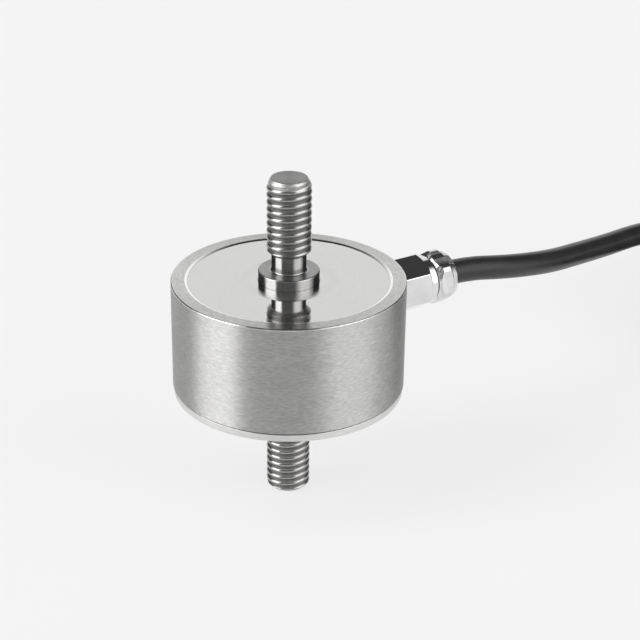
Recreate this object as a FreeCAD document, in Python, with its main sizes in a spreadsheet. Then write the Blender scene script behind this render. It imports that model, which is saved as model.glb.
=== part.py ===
# Miniature tension load cell: a round stainless housing with an M6 stud out of each face
# and a cable gland in its side. Z is the load axis and points up, X runs along the gland,
# and the origin is the middle of the lower stud's end, on which the cell stands.
import FreeCAD, Part
import math
import os
import Sketcher
from FreeCAD import Placement, Rotation, Vector

doc = FreeCAD.newDocument("TensionLoadCell")
sheet = doc.addObject("Spreadsheet::Sheet", "Sizes")

driving_sizes = [
    # studs, M6 x 1
    ("stud_radius", 3.0, "outside of the M6 thread"),
    ("stud_end_radius", 2.45, "flat end of a stud inside its chamfer"),
    ("stud_end_chamfer", 0.6, "height of the chamfer at a stud's end"),
    ("upper_stud_length", 13.0, "collar to the end of the upper stud"),
    ("lower_stud_length", 13.0, "boss to the end of the lower stud"),
    ("boss_height", 2.3, "boss between the base and the lower stud"),
    ("neck_radius", 2.35, "undercut at the root of a thread"),
    ("neck_length", 2.4, "collar or boss to the start of the thread's run-out"),
    # housing
    ("housing_radius", 15.75, "outside of the housing"),
    ("housing_height", 15.0, "seam to rim"),
    ("rim_chamfer", 0.2, "outer edge of the rim"),
    ("wall_thickness", 2.35, "wall round the element and the base"),
    ("wiring_step", 0.8, "step that the element's ring is pressed up to"),
    ("ledge_width", 0.8, "ledge under the cover"),
    ("ledge_thickness", 1.5, "ledge under the cover"),
    ("fit_gap", 0.02, "radial gap of the turned fits"),
    # cover
    ("rim_width", 2.17, "outside of the housing to the cover's edge"),
    ("cover_thickness", 0.5, "polished cover disc"),
    ("cover_recess", 0.15, "rim above the cover"),
    ("collar_gap", 0.3, "cover to collar all round"),
    ("seal_recess", 0.15, "cover above the soft seal"),
    # measuring element
    ("collar_radius", 4.12, "collar that stands out of the cover"),
    ("collar_rise", 1.5, "collar above the cover"),
    ("collar_depth", 1.35, "collar below the cover's top"),
    ("collar_edge", 0.12, "chamfer of the collar's edges"),
    ("hub_radius", 3.2, "hub between collar and flexure"),
    ("flexure_thickness", 1.2, "flexing web"),
    ("flexure_corner", 0.4, "corners left where the web meets hub and ring"),
    ("ring_width", 2.88, "element's ring"),
    ("ring_height", 3.5, "element's ring, clamped in the housing"),
    ("web_drop", 1.3, "top of the ring to the top of the web"),
    ("window_share", 0.6, "round windows that leave four beams in the web, part of its width"),
    ("window_count", 4, "windows, one between each two beams"),
    ("stop_gap", 0.2, "hub to base, closed by an overload"),
    # base
    ("base_step", 0.15, "outside of the housing to the base flange's"),
    ("base_flange", 1.2, "base flange below the seam"),
    ("spigot_width", 3.58, "spigot round the pocket under the flexure"),
    ("spigot_pocket", 1.4, "depth of the pocket"),
    # gauges, board and wires
    ("gauge_share", 0.41, "gauge along the beam, part of the web's width"),
    ("gauge_width", 2.2, "across the beam"),
    ("gauge_thickness", 0.12, "foil and backing"),
    ("ribbon_width", 0.3, "ribbon from gauge to board"),
    ("ribbon_thickness", 0.1, "ribbon from gauge to board"),
    ("ribbon_spread", 1.1, "two ribbons of a gauge, middle to middle"),
    ("board_hub_gap", 1.4, "ring board round the hub"),
    ("board_gap", 0.4, "ring board inside the wiring bore"),
    ("board_thickness", 0.8, "ring board"),
    ("board_drop", 2.5, "gland's axis to the top of the board"),
    ("chip_length", 2.0, "trimming resistor"),
    ("chip_width", 1.25, "trimming resistor"),
    ("chip_height", 0.6, "trimming resistor"),
    # gland
    ("gland_share", 0.36, "rim to the gland's axis, part of the housing's height"),
    ("gland_flats", 7.0, "across flats of body and nut"),
    ("spot_face_depth", 0.6, "flat for the gland, below the housing's outside"),
    ("spot_face_radius", 4.35, "spot face for the gland"),
    ("gland_thread_radius", 2.5, "gland's thread in the housing"),
    ("gland_hex_length", 5.85, "seat to the start of the corner chamfer"),
    ("gland_corner_fall", 0.5, "length of the corner chamfer"),
    ("gland_shoulder_radius", 3.45, "round shoulder between the hexagons"),
    ("gland_shoulder_length", 1.15, "round shoulder between the hexagons"),
    ("gland_stem_radius", 2.95, "threaded stem inside the nut"),
    ("gland_stem_length", 1.95, "threaded stem inside the nut"),
    ("gland_bore", 1.8, "hole for the cable"),
    ("seal_pocket_radius", 2.4, "pocket for the rubber seal"),
    ("seal_pocket_depth", 3.0, "pocket for the rubber seal"),
    ("gland_body_turn", 5.0, "degrees from a corner straight up"),
    ("nut_gap", 0.1, "shoulder to nut"),
    ("nut_length", 3.25, "whole nut"),
    ("nut_corner_radius", 3.88, "bar that the nut is cut from"),
    ("nut_inner_chamfer", 0.45, "length of the chamfer by the shoulder"),
    ("nut_outer_chamfer", 1.4, "length of the chamfer at the cable"),
    ("nut_end_radius", 3.2, "nut's end at the cable"),
    ("nut_wall", 0.85, "end wall of the nut"),
    ("nut_turn", 7.4, "degrees from a corner straight up"),
    ("clamp_ring_radius", 2.85, "washer between seal and nut"),
    ("clamp_ring_thickness", 0.5, "washer between seal and nut"),
    # cable
    ("cable_radius", 1.75, "cable jacket"),
    ("jacket_reach", 0.6, "jacket's inner end past the wiring bore"),
    ("core_radius", 0.36, "insulated core"),
    ("core_spread", 0.65, "cores from the middle of the cable"),
    ("core_reach", 1.6, "how far a core runs inward"),
    ("core_fall", 1.8, "while it falls this much"),
    ("sleeve_radius", 2.0, "sleeve on the cable's free end"),
    ("coil_chamfer", 0.9, "outer edges of the wound coil"),
    # coil of the spare length
    ("coil_centre_x", 105.0, "middle of the coil"),
    ("coil_centre_y", -1.0, "middle of the coil"),
    ("coil_mean_radius", 19.5, "middle of the coil's section"),
    ("turn_pitch", 3.55, "turns beside and on each other"),
    ("coil_columns", 4, "turns across the coil"),
    ("coil_layers", 4, "turns on each other"),
    ("shelf_layers", 2, "turns on each other in the inner column, which carries the free end"),
    ("tie_thickness", 0.5, "band of a cable tie"),
    ("tie_width", 2.5, "band of a cable tie"),
    ("tie_head_length", 4.4, "head of a cable tie, along the band"),
    ("tie_head_width", 4.2, "head of a cable tie, across the band"),
    ("tie_head_height", 3.0, "head of a cable tie, over the coil"),
]


class Size:
    """A number together with the sheet formula that gives it."""

    def __init__(self, value, text):
        self.value = value
        self.text = text

    def __add__(self, other):
        other = as_size(other)
        return Size(self.value + other.value, "(" + self.text + " + " + other.text + ")")

    def __sub__(self, other):
        other = as_size(other)
        return Size(self.value - other.value, "(" + self.text + " - " + other.text + ")")

    def __mul__(self, other):
        other = as_size(other)
        return Size(self.value * other.value, self.text + " * " + other.text)

    def __truediv__(self, other):
        other = as_size(other)
        return Size(self.value / other.value, self.text + " / " + other.text)


def as_size(thing):
    return thing if isinstance(thing, Size) else Size(thing, repr(thing))


class Sizes:
    """The sheet's sizes by name."""


for row, (name, number, note) in enumerate(driving_sizes, start=1):
    sheet.set("A%d" % row, name)
    sheet.set("B%d" % row, str(number))
    sheet.setAlias("B%d" % row, name)
    sheet.set("C%d" % row, note)
    setattr(Sizes, name, Size(number, "Sizes." + name))
doc.recompute()

zero = as_size(0)
s = Sizes

# radii of the turned pieces, from the housing inward
element_bore = s.housing_radius - s.wall_thickness
wiring_bore = element_bore - s.wiring_step
ledge_radius = wiring_bore - s.ledge_width
cover_radius = s.housing_radius - s.rim_width
base_radius = s.housing_radius - s.base_step
ring_radius = element_bore - s.fit_gap
ring_inner_radius = ring_radius - s.ring_width
spigot_inner_radius = ring_radius - s.spigot_width
web_width = ring_inner_radius - s.hub_radius
window_radius = web_width * s.window_share / 2
gauge_circle = (s.hub_radius + ring_inner_radius) / 2
gauge_length = web_width * s.gauge_share
board_inner_radius = s.hub_radius + s.board_hub_gap
board_outer_radius = wiring_bore - s.board_gap
chip_circle = (board_inner_radius + board_outer_radius) / 2
thread_run_out = s.stud_radius - s.neck_radius

# levels above the floor
base_bottom = s.lower_stud_length + s.boss_height
seam = base_bottom + s.base_flange
rim_top = seam + s.housing_height
cover_top = rim_top - s.cover_recess
cover_bottom = cover_top - s.cover_thickness
ledge_bottom = cover_bottom - s.ledge_thickness
collar_top = cover_top + s.collar_rise
collar_bottom = cover_top - s.collar_depth
stud_top = collar_top + s.upper_stud_length
gland_level = rim_top - s.housing_height * s.gland_share
board_top = gland_level - s.board_drop
ring_top = board_top - s.board_thickness
spigot_top = ring_top - s.ring_height
pocket_floor = spigot_top - s.spigot_pocket
web_top = ring_top - s.web_drop
web_bottom = web_top - s.flexure_thickness

# places along the gland, from the load axis
cable_inner_end = wiring_bore - s.jacket_reach
gland_seat = s.housing_radius - s.spot_face_depth
hex_end = gland_seat + s.gland_hex_length
shoulder_start = hex_end + s.gland_corner_fall
shoulder_end = shoulder_start + s.gland_shoulder_length
stem_end = shoulder_end + s.gland_stem_length
seal_start = stem_end - s.seal_pocket_depth
nut_start = shoulder_end + s.nut_gap
nut_end = nut_start + s.nut_length
nut_wall_start = nut_end - s.nut_wall
clamp_ring_start = nut_wall_start - s.clamp_ring_thickness
hex_corner_radius = s.gland_flats / as_size(2 * math.cos(math.pi / 6))

# the coil
coil_inner_radius = s.coil_mean_radius - s.turn_pitch * s.coil_columns / 2
coil_outer_radius = s.coil_mean_radius + s.turn_pitch * s.coil_columns / 2
coil_bottom = s.tie_thickness
coil_top = coil_bottom + s.turn_pitch * s.coil_layers
shelf_radius = coil_inner_radius + s.turn_pitch
shelf_top = coil_bottom + s.turn_pitch * s.shelf_layers


def bind(thing, prop, size):
    thing.setExpression(prop, size.text)


def move(thing, x=None, y=None, z=None):
    for axis, size in (("x", x), ("y", y), ("z", z)):
        if size is not None:
            bind(thing, "Placement.Base." + axis, size)


def origin_plane(body, role):
    return next(item for item in body.Origin.OriginFeatures if item.Role == role)


def sketch_on(body, name, role, offset=None):
    """A sketch on one of the body's origin planes, offset along the plane's normal."""
    sketch = body.newObject("Sketcher::SketchObject", name)
    sketch.AttachmentSupport = [(origin_plane(body, role), "")]
    sketch.MapMode = "FlatFace"
    if offset is not None:
        bind(sketch, "AttachmentOffset.Base.z", offset)
    return sketch


def place_point(sketch, line, end, x, y):
    """Hold one end of a line at x, y, each only where it is given."""
    for kind, axis, size in (("DistanceX", -2, x), ("DistanceY", -1, y)):
        if size is None:
            continue
        if size.value == 0:
            sketch.addConstraint(Sketcher.Constraint("PointOnObject", line, end, axis))
            continue
        index = sketch.addConstraint(Sketcher.Constraint(kind, -1, 1, line, end, size.value))
        bind(sketch, "Constraints[%d]" % index, size)


def outline(sketch, corners):
    """A closed outline through corners (x, y), with its upright and level lines held so."""
    corners = [(as_size(x), as_size(y)) for x, y in corners]
    count = len(corners)
    points = [Vector(x.value, y.value, 0) for x, y in corners]
    upright = [corners[i][0].text == corners[(i + 1) % count][0].text for i in range(count)]
    level = [corners[i][1].text == corners[(i + 1) % count][1].text for i in range(count)]
    lines = []
    for i in range(count):
        lines.append(sketch.addGeometry(Part.LineSegment(points[i], points[(i + 1) % count]), False))
    for i, (x, y) in enumerate(corners):
        sketch.addConstraint(Sketcher.Constraint("Coincident", lines[i - 1], 2, lines[i], 1))
        if upright[i]:
            sketch.addConstraint(Sketcher.Constraint("Vertical", lines[i]))
        if level[i]:
            sketch.addConstraint(Sketcher.Constraint("Horizontal", lines[i]))
        place_point(sketch, lines[i], 1, None if upright[i - 1] else x, None if level[i - 1] else y)


def circle_on(sketch, x, y, radius):
    """A circle with its middle at x, y."""
    middle = Vector(as_size(x).value, as_size(y).value, 0)
    circle = sketch.addGeometry(Part.Circle(middle, Vector(0, 0, 1), radius.value), False)
    place_point(sketch, circle, 3, as_size(x), as_size(y))
    index = sketch.addConstraint(Sketcher.Constraint("Radius", circle, radius.value))
    bind(sketch, "Constraints[%d]" % index, radius)


def turned(label, corners, axis="V_Axis"):
    """A body turned from the outline of its section, about the sketch's upright or level axis."""
    body = doc.addObject("PartDesign::Body", label)
    section = sketch_on(body, label + "_section", "XZ_Plane")
    outline(section, corners)
    lathe = body.newObject("PartDesign::Revolution", label + "_turning")
    lathe.Profile = section
    lathe.ReferenceAxis = (section, [axis])
    lathe.Angle = 360
    return body


def body_volume(body):
    doc.recompute()
    return body.Shape.Volume


def pocket(body, name, role, draw, depth, offset=None, flip=False, through=False):
    """A pocket of what draw puts in its sketch."""
    before = body_volume(body)
    sketch = sketch_on(body, name + "_sketch", role, offset)
    draw(sketch)
    cut = body.newObject("PartDesign::Pocket", name)
    cut.Profile = sketch
    cut.Reversed = flip
    if through:
        cut.Type = "ThroughAll"
        cut.Midplane = True
    else:
        bind(cut, "Length", depth)
    if body_volume(body) >= before:
        raise RuntimeError(name + " cuts nothing")
    return cut


def boolean(kind, label, base, tool):
    joined = doc.addObject(kind, label)
    joined.Base = base
    joined.Tool = tool
    return joined


def ring(label, inner, outer, low, high):
    """A plain turned ring."""
    return turned(label, [(inner, low), (outer, low), (outer, high), (inner, high)])


def make_housing():
    edge = cover_radius + s.fit_gap
    body = turned("housing", [
        (element_bore, seam),
        (s.housing_radius, seam),
        (s.housing_radius, rim_top - s.rim_chamfer),
        (s.housing_radius - s.rim_chamfer, rim_top),
        (edge + s.cover_recess, rim_top),
        (edge, cover_top),
        (edge, cover_bottom),
        (ledge_radius, cover_bottom),
        (ledge_radius, ledge_bottom),
        (wiring_bore, ledge_bottom),
        (wiring_bore, ring_top),
        (element_bore, ring_top),
    ])
    pocket(body, "gland_port", "YZ_Plane",
           lambda sketch: circle_on(sketch, 0, gland_level, s.gland_thread_radius),
           s.housing_radius, flip=True)
    pocket(body, "spot_face", "YZ_Plane",
           lambda sketch: circle_on(sketch, 0, gland_level, s.spot_face_radius),
           s.housing_radius - gland_seat, offset=gland_seat, flip=True)
    return body


def make_element():
    """Upper stud, collar, hub, web with its beams, and ring: one turned and drilled piece."""
    hub_bottom = pocket_floor + s.stop_gap
    thread_start = collar_top + s.neck_length
    body = turned("load_element", [
        (zero, hub_bottom),
        (s.hub_radius, hub_bottom),
        (s.hub_radius, web_bottom - s.flexure_corner),
        (s.hub_radius + s.flexure_corner, web_bottom),
        (ring_inner_radius - s.flexure_corner, web_bottom),
        (ring_inner_radius, web_bottom - s.flexure_corner),
        (ring_inner_radius, spigot_top),
        (ring_radius, spigot_top),
        (ring_radius, ring_top),
        (ring_inner_radius, ring_top),
        (ring_inner_radius, web_top + s.flexure_corner),
        (ring_inner_radius - s.flexure_corner, web_top),
        (s.hub_radius + s.flexure_corner, web_top),
        (s.hub_radius, web_top + s.flexure_corner),
        (s.hub_radius, collar_bottom),
        (s.collar_radius, collar_bottom),
        (s.collar_radius, collar_top - s.collar_edge),
        (s.collar_radius - s.collar_edge, collar_top),
        (s.neck_radius, collar_top),
        (s.neck_radius, thread_start),
        (s.stud_radius, thread_start + thread_run_out),
        (s.stud_radius, stud_top - s.stud_end_chamfer),
        (s.stud_end_radius, stud_top),
        (zero, stud_top),
    ])
    middle = gauge_circle * as_size(math.sqrt(0.5))
    window = pocket(body, "beam_window", "XY_Plane",
                    lambda sketch: circle_on(sketch, middle, middle, window_radius),
                    None, offset=web_bottom, through=True)
    windows = body.newObject("PartDesign::PolarPattern", "beam_windows")
    windows.Originals = [window]
    windows.Axis = (origin_plane(body, "Z_Axis"), [""])
    windows.Angle = 360
    bind(windows, "Occurrences", s.window_count)
    body.Tip = windows
    return body


def make_cover():
    return ring("cover_plate", s.collar_radius + s.collar_gap, cover_radius, cover_bottom, cover_top)


def make_collar_seal():
    return ring("collar_seal", s.collar_radius, s.collar_radius + s.collar_gap,
                cover_bottom, cover_top - s.seal_recess)


def make_base():
    """Base flange, spigot, boss and lower stud: one turned piece."""
    thread_start = s.lower_stud_length - s.neck_length
    return turned("base_plate", [
        (zero, zero),
        (s.stud_end_radius, zero),
        (s.stud_radius, s.stud_end_chamfer),
        (s.stud_radius, thread_start - thread_run_out),
        (s.neck_radius, thread_start),
        (s.neck_radius, s.lower_stud_length),
        (s.collar_radius - s.collar_edge, s.lower_stud_length),
        (s.collar_radius, s.lower_stud_length + s.collar_edge),
        (s.collar_radius, base_bottom),
        (base_radius, base_bottom),
        (base_radius, seam),
        (ring_radius, seam),
        (ring_radius, spigot_top),
        (spigot_inner_radius, spigot_top),
        (spigot_inner_radius, pocket_floor),
        (zero, pocket_floor),
    ])


def block(label, length, width, height, x, y, z):
    """A plain block whose lowest corner is at x, y, z."""
    box = doc.addObject("Part::Box", label)
    bind(box, "Length", length)
    bind(box, "Width", width)
    bind(box, "Height", height)
    move(box, x, y, z)
    return box


def turned_about_z(box, degrees):
    """A holder that turns one piece about the load axis."""
    holder = doc.addObject("Part::Compound", box.Name + "_turned")
    holder.Links = [box]
    holder.Placement = Placement(Vector(0, 0, 0), Rotation(Vector(0, 0, 1), degrees))
    return holder


def make_gauges():
    """Four foil gauges, one on the top of each beam."""
    gauges = []
    for number in range(4):
        flat = block("gauge_%d" % (number + 1), gauge_length, s.gauge_width, s.gauge_thickness,
                     gauge_circle - gauge_length / 2, s.gauge_width * -0.5, web_top)
        gauge = turned_about_z(flat, 90 * number)
        gauge.Label = "strain_gauge_%d" % (number + 1)
        gauges.append(gauge)
    return gauges


def make_gauge_ribbons():
    """Two short ribbons up from each gauge to the board."""
    ribbons = []
    for number in range(4):
        for side in (-1, 1):
            flat = block("gauge_ribbon", s.ribbon_width, s.ribbon_thickness,
                         ring_top - web_top - s.gauge_thickness,
                         gauge_circle + gauge_length / 2 - s.ribbon_width,
                         s.ribbon_spread * (side / 2) - s.ribbon_thickness / 2,
                         web_top + s.gauge_thickness)
            ribbons.append(turned_about_z(flat, 90 * number))
    group = doc.addObject("Part::Compound", "gauge_ribbons")
    group.Links = ribbons
    return group


def make_board():
    return ring("circuit_board", board_inner_radius, board_outer_radius, ring_top, board_top)


def make_resistors():
    """Three trimming resistors on the board, away from the gland."""
    resistors = []
    for label, degrees in (("zero_resistor", 115), ("span_resistor", 180), ("temperature_resistor", 245)):
        chip = block(label + "_chip", s.chip_width, s.chip_length, s.chip_height,
                     chip_circle - s.chip_width / 2, s.chip_length * -0.5, board_top)
        resistor = turned_about_z(chip, degrees)
        resistor.Label = label
        resistors.append(resistor)
    return resistors


def hexagon_bar(name, start, length, turn):
    """A hexagonal bar along X at the gland's level, with a corner turned from straight up."""
    bar = doc.addObject("Part::Prism", name)
    bar.Polygon = 6
    bind(bar, "Circumradius", hex_corner_radius)
    bind(bar, "Height", length)
    along_gland = Rotation(Vector(0, 1, 0), 90)
    bar.Placement = Placement(Vector(0, 0, 0), Rotation(Vector(1, 0, 0), -turn.value) * along_gland)
    move(bar, start, None, gland_level)
    return bar


def lift_to_gland(body):
    move(body, None, None, gland_level)
    return body


def make_gland_body():
    form = lift_to_gland(turned("gland_body_form", [
        (wiring_bore, s.gland_bore),
        (seal_start, s.gland_bore),
        (seal_start, s.seal_pocket_radius),
        (stem_end, s.seal_pocket_radius),
        (stem_end, s.gland_stem_radius),
        (shoulder_end, s.gland_stem_radius),
        (shoulder_end, s.gland_shoulder_radius),
        (shoulder_start, s.gland_shoulder_radius),
        (hex_end, hex_corner_radius),
        (gland_seat, hex_corner_radius),
        (gland_seat, s.gland_thread_radius),
        (wiring_bore, s.gland_thread_radius),
    ], "H_Axis"))
    bar = hexagon_bar("gland_body_bar", wiring_bore, stem_end - wiring_bore, s.gland_body_turn)
    return boolean("Part::Common", "gland_body", form, bar)


def make_gland_nut():
    thread = s.gland_stem_radius + s.fit_gap
    form = lift_to_gland(turned("gland_nut_form", [
        (nut_start, thread),
        (nut_wall_start, thread),
        (nut_wall_start, s.gland_bore),
        (nut_end, s.gland_bore),
        (nut_end, s.nut_end_radius),
        (nut_end - s.nut_outer_chamfer, s.nut_corner_radius),
        (nut_start + s.nut_inner_chamfer, s.nut_corner_radius),
        (nut_start, s.gland_shoulder_radius),
    ], "H_Axis"))
    bar = hexagon_bar("gland_nut_bar", nut_start, s.nut_length, s.nut_turn)
    return boolean("Part::Common", "gland_nut", form, bar)


def make_gland_seal():
    """Rubber sleeve squeezed between the pocket's floor and the washer."""
    return lift_to_gland(turned("gland_seal", [
        (seal_start, s.cable_radius),
        (clamp_ring_start, s.cable_radius),
        (clamp_ring_start, s.seal_pocket_radius),
        (seal_start, s.seal_pocket_radius),
    ], "H_Axis"))


def make_clamp_ring():
    return lift_to_gland(turned("clamp_ring", [
        (clamp_ring_start, s.gland_bore),
        (nut_wall_start, s.gland_bore),
        (nut_wall_start, s.clamp_ring_radius),
        (clamp_ring_start, s.clamp_ring_radius),
    ], "H_Axis"))


def make_cable_entry():
    """The straight end of the cable that the gland holds."""
    jacket = doc.addObject("Part::Cylinder", "cable_entry")
    bind(jacket, "Radius", s.cable_radius)
    bind(jacket, "Height", nut_end - cable_inner_end)
    jacket.Placement = Placement(Vector(0, 0, 0), Rotation(Vector(0, 1, 0), 90))
    move(jacket, cable_inner_end, None, gland_level)
    return jacket


run_share = 0.45  # part of the shorter run that each arc takes up


def rounded_route(name, points):
    """Straight runs joined by tangent arcs that are as large as the runs allow."""
    edges = []
    radii = []
    start = points[0]
    for before, corner, after in zip(points, points[1:], points[2:]):
        come = corner - before
        leave = after - corner
        half_turn = come.getAngle(leave) / 2
        reach = run_share * min(come.Length, leave.Length)
        radius = reach / math.tan(half_turn)
        come.normalize()
        leave.normalize()
        first = corner - come * reach
        last = corner + leave * reach
        inward = (leave - come).normalize()
        middle = corner + inward * (radius / math.cos(half_turn) - radius)
        edges.append(Part.LineSegment(start, first).toShape())
        edges.append(Part.Arc(first, middle, last).toShape())
        radii.append(radius)
        start = last
    edges.append(Part.LineSegment(start, points[-1]).toShape())
    route = Part.Wire(edges)
    print(name, "length %.1f, radii" % route.Length, " ".join("%.1f" % radius for radius in radii))
    return route


def tube(name, points, radius):
    """A round tube along a rounded route."""
    route = rounded_route(name, points)
    way = (points[1] - points[0]).normalize()
    end = Part.Wire(Part.Circle(points[0], way, radius).toShape())
    shape = route.makePipeShell([end], True, False)
    wanted = math.pi * radius ** 2 * route.Length
    if abs(shape.Volume / wanted - 1) > 0.01:
        raise RuntimeError(name + " has the wrong volume")
    return shape


def made(label, shape):
    piece = doc.addObject("Part::Feature", label)
    piece.Shape = shape
    return piece


def make_cores(jacket, board):
    """Four insulated cores that slant from the jacket's end down to the board."""
    slant = s.core_fall / s.core_reach
    cores = []
    for label, side, row in (("core_red", 1, 1), ("core_white", -1, 1),
                             ("core_green", 1, -1), ("core_black", -1, -1)):
        core = doc.addObject("Part::Cylinder", "whole_" + label)
        bind(core, "Radius", s.core_radius)
        start = gland_level + s.core_spread * row
        reach = (start - board_top) / slant + s.core_radius
        length = reach * as_size(math.hypot(1, slant.value))
        bind(core, "Height", length)
        down = math.degrees(math.atan(slant.value))
        core.Placement = Placement(Vector(0, 0, 0), Rotation(Vector(0, 1, 0), -90 - down))
        move(core, cable_inner_end + s.core_radius, s.core_spread * side, start)
        free = boolean("Part::Cut", label + "_free", core, jacket)
        cores.append(boolean("Part::Cut", label, free, board))
    return cores


# the route of the cable from the gland to the coil's uppermost outer turn
cable_points = [
    (26.0, 0.0, 26.1),
    (33.0, 0.0, 26.1),
    (43.0, 0.4, 23.4),
    (72.0, 10.8, 18.0),
    (86.5, 16.9, 12.9),
    (97.0, 21.7, 12.6),
]


def make_coil():
    """The spare length as one ring; its lower inner step is the shelf for the free end."""
    body = turned("cable_coil", [
        (coil_inner_radius, coil_bottom),
        (coil_outer_radius - s.coil_chamfer, coil_bottom),
        (coil_outer_radius, coil_bottom + s.coil_chamfer),
        (coil_outer_radius, coil_top - s.coil_chamfer),
        (coil_outer_radius - s.coil_chamfer, coil_top),
        (shelf_radius, coil_top),
        (shelf_radius, shelf_top),
        (coil_inner_radius, shelf_top),
    ])
    move(body, s.coil_centre_x, s.coil_centre_y, None)
    return body


def make_cable_run(coil):
    """The free stretch, which ends where it runs into the coil."""
    points = [Vector(*point) for point in cable_points]
    points[0] = Vector(nut_end.value, 0, gland_level.value)
    whole = made("cable_run_whole", tube("cable_run", points, s.cable_radius.value))
    return boolean("Part::Cut", "cable_run", whole, coil)


def on_shelf(degrees, radius, height):
    """A point given by its angle and radius about the coil's middle and its height over the shelf."""
    angle = math.radians(degrees)
    return Vector(s.coil_centre_x.value + radius * math.cos(angle),
                  s.coil_centre_y.value + radius * math.sin(angle),
                  shelf_top.value + height)


# the free end lies on the shelf: (degrees, radius, height over the shelf)
tail_points = [(48, 14.1, 1.85), (26, 14.2, 1.95), (2, 13.85, 2.05)]
sleeve_points = [(14, 14.0, 2.05), (-12, 13.85, 2.05)]
lead_points = {
    "lead_red": [(-11, 12.575, 2.05), (-47, 12.85, 0.42)],
    "lead_green": [(-11, 13.425, 2.05), (-45, 13.7, 0.42)],
    "lead_black": [(-11, 14.275, 2.05), (-42, 14.55, 0.42)],
    "lead_white": [(-11, 15.125, 2.05), (-40, 15.4, 0.42)],
}


def make_free_end():
    """Jacket end, the sleeve over it and the stripped cores, on the coil's shelf."""
    tail = made("cable_tail", tube("cable_tail", [on_shelf(*p) for p in tail_points], s.cable_radius.value))
    sleeve_route = [on_shelf(*p) for p in sleeve_points]
    whole_sleeve = made("whole_sleeve", tube("end_sleeve", sleeve_route, s.sleeve_radius.value))
    sleeve = boolean("Part::Cut", "end_sleeve", whole_sleeve, tail)
    leads = []
    for label, points in lead_points.items():
        whole = made("whole_" + label, tube(label, [on_shelf(*p) for p in points], s.core_radius.value))
        leads.append(boolean("Part::Cut", label, whole, whole_sleeve))
    return [tail, sleeve] + leads


def make_tie(label, degrees, coil):
    """A cable tie pulled tight round the coil's section, slanting past the shelf, with its head on top."""
    body = doc.addObject("PartDesign::Body", "whole_" + label)
    steps = s.coil_layers.value - s.shelf_layers.value
    slant = math.hypot(1, steps)
    top = coil_top + s.tie_thickness
    outside = sketch_on(body, label + "_outside", "XZ_Plane")
    outline(outside, [
        (coil_inner_radius - s.tie_thickness, zero),
        (coil_outer_radius + s.tie_thickness - s.coil_chamfer, zero),
        (coil_outer_radius + s.tie_thickness, s.coil_chamfer),
        (coil_outer_radius + s.tie_thickness, top - s.coil_chamfer),
        (coil_outer_radius + s.tie_thickness - s.coil_chamfer, top),
        (shelf_radius - s.tie_thickness * ((slant - 1) / steps), top),
        (coil_inner_radius - s.tie_thickness, shelf_top + s.tie_thickness * (slant - steps)),
    ])
    band = body.newObject("PartDesign::Pad", label + "_band")
    band.Profile = outside
    band.Midplane = True
    bind(band, "Length", s.tie_width)
    doc.recompute()
    inside = sketch_on(body, label + "_inside", "XZ_Plane")
    outline(inside, [
        (coil_inner_radius, coil_bottom),
        (coil_outer_radius - s.coil_chamfer, coil_bottom),
        (coil_outer_radius, coil_bottom + s.coil_chamfer),
        (coil_outer_radius, coil_top - s.coil_chamfer),
        (coil_outer_radius - s.coil_chamfer, coil_top),
        (shelf_radius, coil_top),
        (coil_inner_radius, shelf_top),
    ])
    hollow = body.newObject("PartDesign::Pocket", label + "_hollow")
    hollow.Profile = inside
    hollow.Type = "ThroughAll"
    hollow.Midplane = True
    head_outline = sketch_on(body, label + "_head_outline", "XZ_Plane")
    outline(head_outline, [
        (s.coil_mean_radius, coil_top),
        (s.coil_mean_radius + s.tie_head_length, coil_top),
        (s.coil_mean_radius + s.tie_head_length, coil_top + s.tie_head_height),
        (s.coil_mean_radius, coil_top + s.tie_head_height),
    ])
    head = body.newObject("PartDesign::Pad", label + "_head")
    head.Profile = head_outline
    head.Midplane = True
    bind(head, "Length", s.tie_head_width)
    body.Placement = Placement(Vector(0, 0, 0), Rotation(Vector(0, 0, 1), degrees))
    move(body, s.coil_centre_x, s.coil_centre_y, None)
    return boolean("Part::Cut", label, body, coil)


coil = make_coil()
pieces = [make_housing(), make_element(), make_cover(), make_collar_seal(), make_base()]
pieces += make_gauges()
board = make_board()
pieces += [make_gauge_ribbons(), board]
pieces += make_resistors()
jacket = make_cable_entry()
pieces += [make_gland_body(), make_gland_seal(), make_clamp_ring(), make_gland_nut(), jacket]
pieces += make_cores(jacket, board)
pieces += [make_cable_run(coil), coil, make_tie("coil_tie_1", 100, coil), make_tie("coil_tie_2", -90, coil)]
pieces += make_free_end()
doc.recompute()

for thing in doc.Objects:
    if "Invalid" in thing.State or "Error" in thing.State:
        raise RuntimeError(thing.Name + " did not build")
os.makedirs("parts", exist_ok=True)
for piece in pieces:
    if piece.Shape.isNull() or not piece.Shape.isValid() or not piece.Shape.Solids:
        raise RuntimeError(piece.Label + " has no valid solid")
    piece.Shape.exportStep("parts/" + piece.Label + ".step")
    print(piece.Label, len(piece.Shape.Solids), "solid", "%.1f mm3" % piece.Shape.Volume)
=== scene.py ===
import bmesh
import bpy
import math
import numpy as np
from mathutils import Matrix, Vector


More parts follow.
